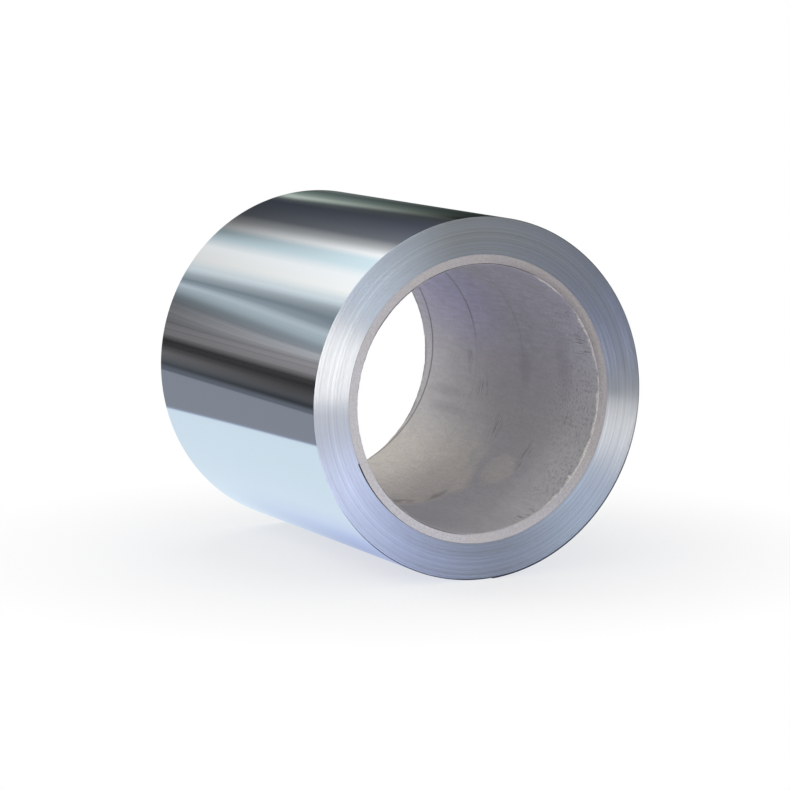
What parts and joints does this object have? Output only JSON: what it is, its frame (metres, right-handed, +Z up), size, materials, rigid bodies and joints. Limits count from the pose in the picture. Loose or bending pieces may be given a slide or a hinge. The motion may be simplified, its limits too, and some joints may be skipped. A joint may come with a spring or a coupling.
{
  "type": "steel coil",
  "caption": "Coil of bright steel strip wound tight on a thick paper core tube, lying on its side; the open bore takes a mandrel or a coil arm.",
  "frame": {"origin": "on the floor, under the middle of the coil's length", "axes": "+Z up, the winding axis along Y, the front end towards -Y"},
  "size_m": [0.6874, 0.7416, 0.6861],
  "materials": {
    "bright_steel": "polished",
    "core_paper": "matte"
  },
  "bodies": {
    "root": {"steel_coil": "bright_steel", "core_tube": "core_paper"}
  },
  "joints": []
}
